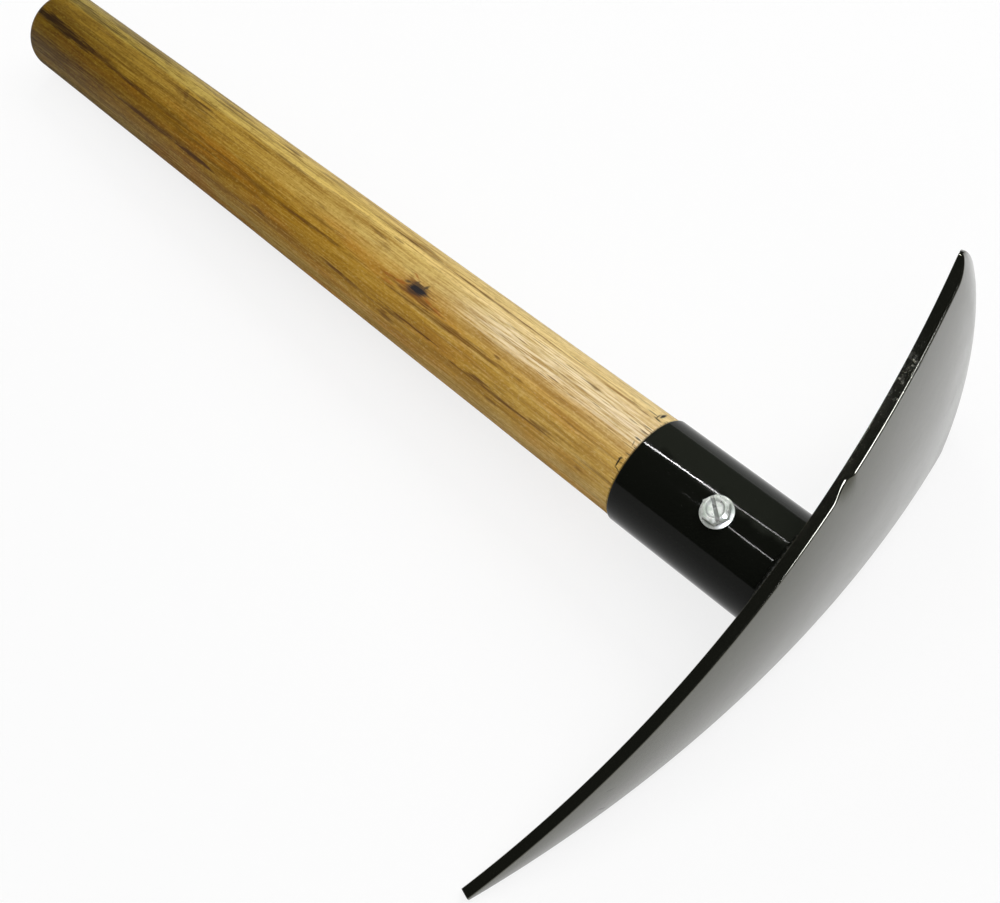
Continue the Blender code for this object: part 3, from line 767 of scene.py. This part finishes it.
def wander(row_along, share):
    """How far the hoe's hand-ground edge lies back on its upper half, and forward on its lower half."""
    near_edge = max(0.0, 1 - (HOE_ARM_LENGTH - row_along) / HOE_WANDER_REACH)
    return HOE_EDGE_WANDER * near_edge * (1 - HOE_WANDER_LEAN * share) * math.sin(math.pi * share)


def thickness(along):
    """The plate's thickness: full at the socket and the hoe, drawn thinner towards the point."""
    share = max(0.0, (-along - POINT_TAPER_START) / (POINT_ARM_LENGTH - POINT_TAPER_START))
    return BLADE_THICKNESS + (POINT_THICKNESS - BLADE_THICKNESS) * share


def half_section(width):
    """Places across one face of the plate and round its corners: (z, depth below the face)."""
    rounding = min(EDGE_ROUNDING, width / 2)
    flat = width - rounding
    places = []
    for column in range(-HALF_COLUMNS, HALF_COLUMNS + 1):
        share = column / HALF_COLUMNS
        places.append((flat * (share + math.sin(math.pi / 2 * share)) / 2, 0.0))
    for step in range(1, CORNER_STEPS + 1):
        turned = math.pi / 2 * step / CORNER_STEPS
        z, sunk = flat + rounding * math.sin(turned), rounding * (1 - math.cos(turned))
        places.insert(0, (-z, sunk))
        places.append((z, sunk))
    return places


def make_blade(material):
    """Loops round the plate's section, row after row along the arms, closed at the point and the hoe."""
    shape = bmesh.new()
    rows = []
    for row_along in blank_rows():
        bow, width = row_bow(row_along)
        ground = max(0.0, 1 - (HOE_ARM_LENGTH - row_along) / HOE_BEVEL_WIDTH)
        depth = (BLADE_THICKNESS - HOE_EDGE_THICKNESS) * ground ** 2
        outer, inner = [], []
        for z, sunk in half_section(width):
            flat = round_corner(Vector((row_along - bow * hoe_edge_drop(z), z)))
            flat.x -= wander(row_along, z / width)
            bulge = crown(flat.x, flat.y)
            pressed = dent(flat.x, width - z)
            outer.append(shape.verts.new(roll(flat.x, flat.y, depth + sunk + pressed - bulge)))
            inner.append(shape.verts.new(roll(flat.x, flat.y, thickness(flat.x) - sunk - bulge)))
        rows.append((outer, inner))
    for row, after in zip(rows, rows[1:]):
        loop, after_loop = (outer + inner[::-1] for outer, inner in (row, after))
        for here in range(len(loop)):
            there = (here + 1) % len(loop)
            shape.faces.new((loop[here], loop[there], after_loop[there], after_loop[here]))
    for outer, inner in (rows[0], rows[-1]):
        for here in range(len(outer) - 1):
            shape.faces.new((outer[here], outer[here + 1], inner[here + 1], inner[here]))
    blade = make_piece("painted_blade", shape, material)
    weighting = blade.modifiers.new("weighted_normals", "WEIGHTED_NORMAL")
    weighting.keep_sharp = True
    return blade


# Socket tube and weld

TUBE_STEPS = 192
TUBE_ROWS = 16
TUBE_ROW_START = 0.010
TUBE_ROW_MARGIN = 0.0003
WELD_STEPS = 10


def make_tube(material):
    """A length of tube with a rounded mouth, its other end cut to the curve of the blade.

    The rows along it keep the smooth shading even beside the rounding.
    """
    outer = SOCKET_RADIUS
    inner = SOCKET_RADIUS - SOCKET_WALL
    rounding = SOCKET_EDGE_ROUNDING
    straight_end = MOUTH_X - rounding - TUBE_ROW_MARGIN
    profile = [(0.0, inner), (0.0, outer)]
    for row in range(TUBE_ROWS + 1):
        profile.append((TUBE_ROW_START + (straight_end - TUBE_ROW_START) * row / TUBE_ROWS, outer))
    profile += arc(MOUTH_X - rounding, outer - rounding, rounding, math.pi / 2, 0.0)
    profile.append((MOUTH_X, inner))
    shape = spun(profile, TUBE_STEPS, closed=True)
    for vert in shape.verts:
        if vert.co.x < MERGE_DISTANCE:
            vert.co.x = seat_x(vert.co.y, vert.co.z) + SEAT_GAP
    return make_piece("painted_socket", shape, material)


def make_weld(material):
    """A crowned fillet round the tube's foot, with the ripples of a hand-run bead."""
    root = SOCKET_RADIUS + SEAT_GAP
    profile = [(SEAT_GAP, root)]
    for step in range(WELD_STEPS + 1):
        share = step / WELD_STEPS
        profile.append((SEAT_GAP + WELD_LEG * share, root + WELD_LEG * (1 - share)))
    shape = spun(profile, 2 * TUBE_STEPS, closed=True)
    ripples = round(2 * math.pi * (root + WELD_LEG / 2) / WELD_RIPPLE)
    for vert in shape.verts:
        x, y, z = vert.co
        radius = math.hypot(y, z)
        across = (x - SEAT_GAP) / WELD_LEG
        outward = (radius - root) / WELD_LEG
        on_face = across + outward > 1 - 1e-3
        if on_face:
            angle = math.atan2(z, y)
            bulge = math.sin(math.pi * across)
            waver = WELD_RIPPLE_WAVER * noise.noise(vert.co * WELD_WAVER_SCALE)
            phase = ripples * angle + WELD_RIPPLE_BEND * bulge + waver
            ripple = abs(math.sin(phase / 2)) * WELD_RIPPLE_HEIGHT * math.sqrt(max(0.0, bulge))
            uneven = WELD_UNEVENNESS * noise.noise(vert.co * WELD_UNEVEN_SCALE) * bulge
            lift = (WELD_CROWN * bulge - WELD_RIPPLE_HEIGHT * bulge + ripple + uneven) / math.sqrt(2)
            vert.co.x += lift
            vert.co.y *= (radius + lift) / radius
            vert.co.z *= (radius + lift) / radius
        vert.co.x += seat_x(vert.co.y, vert.co.z)
    return make_piece("painted_weld", shape, material, sharp_degrees=60)


# Handle

HANDLE_STEPS = 160
HANDLE_ROW_SPACING = 0.003
BUTT_STEPS = 12


def make_handle(material):
    """The turned handle, very slightly uneven as sanded wood is, with its tenon in the socket."""
    tenon_radius = SOCKET_RADIUS - SOCKET_WALL - SEAT_GAP
    tenon_start = inner_face_x(tenon_radius) + TENON_END_CLEARANCE
    shoulder_radius = SOCKET_RADIUS - SHOULDER_STEP
    profile = [(tenon_start, 0.0), (tenon_start, tenon_radius - TENON_CHAMFER),
               (tenon_start + TENON_CHAMFER, tenon_radius), (SHOULDER_X, tenon_radius)]
    profile += arc(SHOULDER_X + SHOULDER_ROUNDING, shoulder_radius - SHOULDER_ROUNDING,
                   SHOULDER_ROUNDING, math.pi, math.pi / 2)
    taper_start = SHOULDER_X + SHOULDER_ROUNDING
    taper_end = BUTT_X - HANDLE_BUTT_ROUNDING
    rows = round((taper_end - taper_start) / HANDLE_ROW_SPACING)
    for row in range(1, rows):
        share = row / rows
        profile.append((taper_start + (taper_end - taper_start) * share,
                        shoulder_radius + (HANDLE_BUTT_RADIUS - shoulder_radius) * share))
    profile += arc(taper_end, HANDLE_BUTT_RADIUS - HANDLE_BUTT_ROUNDING,
                   HANDLE_BUTT_ROUNDING, math.pi / 2, 0.0, BUTT_STEPS)
    profile.append((BUTT_X, 0.0))
    shape = spun(profile, HANDLE_STEPS, closed=False)
    for vert in shape.verts:
        if taper_start < vert.co.x < BUTT_X - MERGE_DISTANCE:
            hollow = 0.5 + 0.5 * noise.noise(vert.co * HANDLE_WAVES)
            radius = math.hypot(vert.co.y, vert.co.z)
            share = 1 - HANDLE_UNEVENNESS * hollow / radius
            vert.co.y *= share
            vert.co.z *= share
    return make_piece("wooden_handle", shape, material)


# Screw

SCREW_STEPS = 96
THREAD_ROWS_PER_TURN = 8


def hexagon_radius(angle):
    """Distance from the middle of the screw's hexagon to its side, in a given direction."""
    side_angle = math.radians(60)
    off_side = (angle + side_angle / 2) % side_angle - side_angle / 2
    return SCREW_HEX_ACROSS_FLATS / 2 / math.cos(off_side)


def thread_radius(depth, angle):
    """Radius of the screw's thread at a depth below the head and an angle round it."""
    turns = (depth / SCREW_PITCH + angle / (2 * math.pi)) % 1.0
    ridge = abs(2 * turns - 1)
    to_tip = min(1.0, (SCREW_LENGTH - depth) / SCREW_TIP_LENGTH)
    return to_tip * (SCREW_CORE_RADIUS + (SCREW_THREAD_RADIUS - SCREW_CORE_RADIUS) * ridge)


def make_box(size, place):
    shape = bmesh.new()
    bmesh.ops.create_cube(shape, size=1.0)
    bmesh.ops.scale(shape, vec=size, verts=shape.verts)
    bmesh.ops.transform(shape, matrix=place, verts=shape.verts)
    return shape


def screw_place():
    """The frame of the screw: its own +X points away from the tube's axis, and X = 0 is its seat."""
    turn = Matrix.Rotation(-SCREW_TURN, 4, "X")
    upright = Matrix.Rotation(-math.pi / 2, 4, "Y")
    seat = Matrix.Translation((MOUTH_X - SCREW_FROM_MOUTH, 0, SOCKET_RADIUS + SEAT_GAP))
    return turn @ seat @ upright


def make_screw(material):
    """A hex washer head screw with a dished top and a driver slot."""
    hex_corner = SCREW_HEX_ACROSS_FLATS / 2 / math.cos(math.radians(30))
    rows = round(SCREW_LENGTH / SCREW_PITCH * THREAD_ROWS_PER_TURN)
    shank = [(-SCREW_LENGTH, 0.0)]
    shank += [(-SCREW_LENGTH * (1 - row / rows), SCREW_CORE_RADIUS) for row in range(1, rows)]
    flange_top = SCREW_FLANGE_THICKNESS
    top = SCREW_HEAD_HEIGHT
    dish_floor = top - SCREW_DISH_DEPTH
    flange = [(0.0, SCREW_CORE_RADIUS), (0.0, SCREW_FLANGE_RADIUS),
              (SCREW_FLANGE_EDGE, SCREW_FLANGE_RADIUS)]
    hexagon = [(flange_top, hex_corner), (top - SCREW_CHAMFER_HEIGHT, hex_corner),
               (top, hex_corner - SCREW_CHAMFER_WIDTH)]
    dish = [(top, SCREW_DISH_RADIUS), (dish_floor, SCREW_DISH_FLOOR_RADIUS), (dish_floor, 0.0)]
    shape = spun(shank + flange + hexagon + dish, SCREW_STEPS, closed=False)
    for vert in shape.verts:
        x, y, z = vert.co
        radius = math.hypot(y, z)
        angle = math.atan2(z, y) % (2 * math.pi)
        if x < -MERGE_DISTANCE and radius > MERGE_DISTANCE:
            wanted = thread_radius(-x, angle)
        elif x > flange_top - MERGE_DISTANCE and radius > SCREW_DISH_RADIUS + MERGE_DISTANCE:
            wanted = min(radius, hexagon_radius(angle))
        else:
            continue
        vert.co.y *= wanted / radius
        vert.co.z *= wanted / radius
    place = screw_place()
    bmesh.ops.transform(shape, matrix=place, verts=shape.verts)
    screw = make_piece("zinc_screw", shape, material, sharp_degrees=30)
    slot_place = place @ Matrix.Translation((top, 0, 0)) @ Matrix.Rotation(SCREW_SLOT_TURN, 4, "X")
    slot_size = (2 * SCREW_SLOT_DEPTH, 4 * SCREW_FLANGE_RADIUS, SCREW_SLOT_WIDTH)
    carve(screw, make_box(slot_size, Matrix.Identity(4)), slot_place)
    round_edges(screw, SCREW_EDGE_ROUNDING, segments=2, degrees=40)
    return screw


def screw_hole():
    """The shape of the screw's hole, through one wall of the tube and into the wood."""
    radius = SCREW_THREAD_RADIUS + HOLE_GAP
    depth = SCREW_LENGTH + SEAT_GAP + HOLE_GAP
    profile = [(-depth, 0.0), (-depth, radius), (CUTTER_OVERRUN, radius), (CUTTER_OVERRUN, 0.0)]
    return spun(profile, SCREW_STEPS, closed=False)


# Studio

def camera_frame():
    """The camera's rotation and place, from where it stands, what it looks at and how it is tilted."""
    forward = (CAMERA_AIM - CAMERA_PLACE).normalized()
    level = forward.cross(Vector((0, 0, 1))).normalized()
    upward = level.cross(forward)
    right = level * math.cos(CAMERA_ROLL) + upward * math.sin(CAMERA_ROLL)
    turn = Matrix((right, right.cross(forward), -forward)).transposed()
    return TOOL @ Matrix.Translation(CAMERA_PLACE) @ turn.to_4x4()


def add_camera():
    lens = bpy.data.cameras.new("camera")
    lens.lens = CAMERA_LENS
    lens.sensor_width = CAMERA_SENSOR
    lens.sensor_fit = "HORIZONTAL"
    lens.shift_x, lens.shift_y = CAMERA_SHIFT
    lens.clip_start = CAMERA_CLIP_START
    camera = bpy.data.objects.new("camera", lens)
    bpy.context.collection.objects.link(camera)
    camera.matrix_world = camera_frame()
    bpy.context.scene.camera = camera


LAMPS_AIM = (-0.10, 0.0, 0.03)
ALONG_X = (1.0, 0.0, 0.0)
ALONG_HANDLE = (0.16, 0.185, 0.0)
# Name, place, length, width, watts, direction of the long side, and use: a lamp that lights isn't
# mirrored, so the gloss paint stays black, and a lamp that is mirrored makes only a highlight
LAMPS = (
    ("overhead", (-0.05, 0.15, 1.5), 1.4, 1.4, 12.8, ALONG_X, "lights"),
    ("hoe_side", (-0.25, -0.95, 1.15), 0.9, 0.9, 10.0, ALONG_X, "lights"),
    ("point_side", (-0.50, 0.55, 0.90), 0.8, 0.8, 2.8, ALONG_X, "lights"),
    ("edge_highlight", (-0.62, 0.26, 0.90), 0.75, 0.24, 24.0, ALONG_X, "mirrored"),
    ("strip_by_mouth", (0.279, -0.2375, 1.0), 0.165, 0.009, 2.0, ALONG_HANDLE, "mirrored"),
    ("strip_by_blade", (0.185, -0.345, 1.0), 0.13, 0.012, 0.4, ALONG_HANDLE, "mirrored"),
    ("short_strip", (0.177, 0.371, 1.0), 0.075, 0.012, 0.32, ALONG_X, "mirrored"),
    ("soft_over_handle", (0.46, -0.443, 0.75), 0.26, 0.26, 1.2, ALONG_X, "lights"),
)
EDGE_HIGHLIGHT_COLOUR = (0.86, 0.87, 1.0)
ROOM_GREY = (0.07, 0.07, 0.07, 1.0)
WHITE = (1.0, 1.0, 1.0, 1.0)


def add_lamp(name, place, length, width, power, long_side):
    """A rectangular lamp of a power in watts; its long side runs in the given direction."""
    light = bpy.data.lights.new(name, "AREA")
    light.shape = "RECTANGLE"
    light.size = length
    light.size_y = width
    light.energy = power
    back = (Vector(place) - Vector(LAMPS_AIM)).normalized()
    run = Vector(long_side)
    run = (run - back * run.dot(back)).normalized()
    turn = Matrix((run, back.cross(run), back)).transposed()
    lamp = bpy.data.objects.new(name, light)
    bpy.context.collection.objects.link(lamp)
    lamp.matrix_world = Matrix.Translation(place) @ turn.to_4x4()
    return lamp


def add_lamps():
    """Soft lamps that light the tool, and small ones for the highlights in its gloss paint."""
    for *sizes, use in LAMPS:
        lamp = add_lamp(*sizes)
        lamp.visible_glossy = use == "mirrored"
        lamp.visible_diffuse = use == "lights"
    bpy.data.lights["edge_highlight"].color = EDGE_HIGHLIGHT_COLOUR


def add_world():
    """A dim room that the camera sees as white."""
    world = bpy.data.worlds.new("dim_room")
    world.use_nodes = True
    nodes, links = world.node_tree.nodes, world.node_tree.links
    dim = nodes["Background"]
    dim.inputs["Color"].default_value = ROOM_GREY
    white = nodes.new("ShaderNodeBackground")
    white.inputs["Color"].default_value = WHITE
    seen = nodes.new("ShaderNodeMixShader")
    links.new(nodes.new("ShaderNodeLightPath").outputs["Is Camera Ray"], seen.inputs[0])
    links.new(dim.outputs[0], seen.inputs[1])
    links.new(white.outputs[0], seen.inputs[2])
    links.new(seen.outputs[0], nodes["World Output"].inputs["Surface"])
    bpy.context.scene.world = world


FLOOR_REACH = 2.6
FLOOR_CORNER = 0.25
FLOOR_WALL_HEIGHT = 0.28
FLOOR_CORNER_STEPS = 8
FLOOR_STEPS = 96
PAPER_GREY = (0.86, 0.86, 0.86, 1.0)
NEAR_WHITENESS = 0.80
FAR_WHITENESS = 1.0
NEAR_END = 0.20
FAR_START = 0.7


def floor_material():
    """Pale paper for the light, nearly white to the eye and in mirrors, wholly white beyond the object."""
    s = Shader("pale_sweep")
    from_middle = s.vector("LENGTH", s.vector("MULTIPLY", s.place, (1, 1, 0)))
    whiteness = s.ramp(from_middle, NEAR_END, FAR_START, NEAR_WHITENESS, FAR_WHITENESS)
    rays = s.add("ShaderNodeLightPath").outputs
    seen = s.math("MAXIMUM", rays["Is Camera Ray"], rays["Is Glossy Ray"])
    seen = s.math("MAXIMUM", seen, rays["Is Transmission Ray"])
    paper = s.add("ShaderNodeBsdfDiffuse", {"Color": PAPER_GREY}).outputs[0]
    glow = s.add("ShaderNodeEmission", {"Color": WHITE, "Strength": 1.0}).outputs[0]
    mixed = s.add("ShaderNodeMixShader", {0: s.math("MULTIPLY", whiteness, seen), 1: paper, 2: glow})
    output = s.add("ShaderNodeOutputMaterial")
    s.links.new(mixed.outputs[0], output.inputs["Surface"])
    return s.material


def add_floor():
    """A pale floor that curves up into a low wall all round."""
    corner_start = FLOOR_REACH - FLOOR_CORNER
    profile = [(0.0, 0.0), (corner_start, 0.0)]
    for step in range(1, FLOOR_CORNER_STEPS + 1):
        angle = math.pi / 2 * step / FLOOR_CORNER_STEPS
        profile.append((corner_start + FLOOR_CORNER * math.sin(angle), FLOOR_CORNER * (1 - math.cos(angle))))
    profile.append((FLOOR_REACH, FLOOR_WALL_HEIGHT))
    shape = bmesh.new()
    points = [shape.verts.new((radius, 0.0, z)) for radius, z in profile]
    edges = [shape.edges.new(pair) for pair in zip(points, points[1:])]
    bmesh.ops.spin(shape, geom=points + edges, cent=(0, 0, 0), axis=(0, 0, 1),
                   angle=2 * math.pi, steps=FLOOR_STEPS, use_merge=True)
    bmesh.ops.remove_doubles(shape, verts=shape.verts, dist=MERGE_DISTANCE)
    make_piece("floor", shape, floor_material(), frame_matrix=Matrix.Identity(4))


def main():
    add_camera()
    add_lamps()
    add_world()
    add_floor()
    blade = make_blade(blade_paint_material())
    tube = make_tube(socket_paint_material())
    weld = make_weld(weld_paint_material())
    handle = make_handle(wood_material())
    screw = make_screw(zinc_material())
    carve(tube, screw_hole(), screw_place())
    carve(handle, screw_hole(), screw_place())
    finish(blade, "blade")
    finish(tube, "socket_tube")
    finish(weld, "weld_bead")
    finish(handle, "handle")
    finish(screw, "socket_screw")

    scene = bpy.context.scene
    scene.view_settings.view_transform = "Standard"


main()
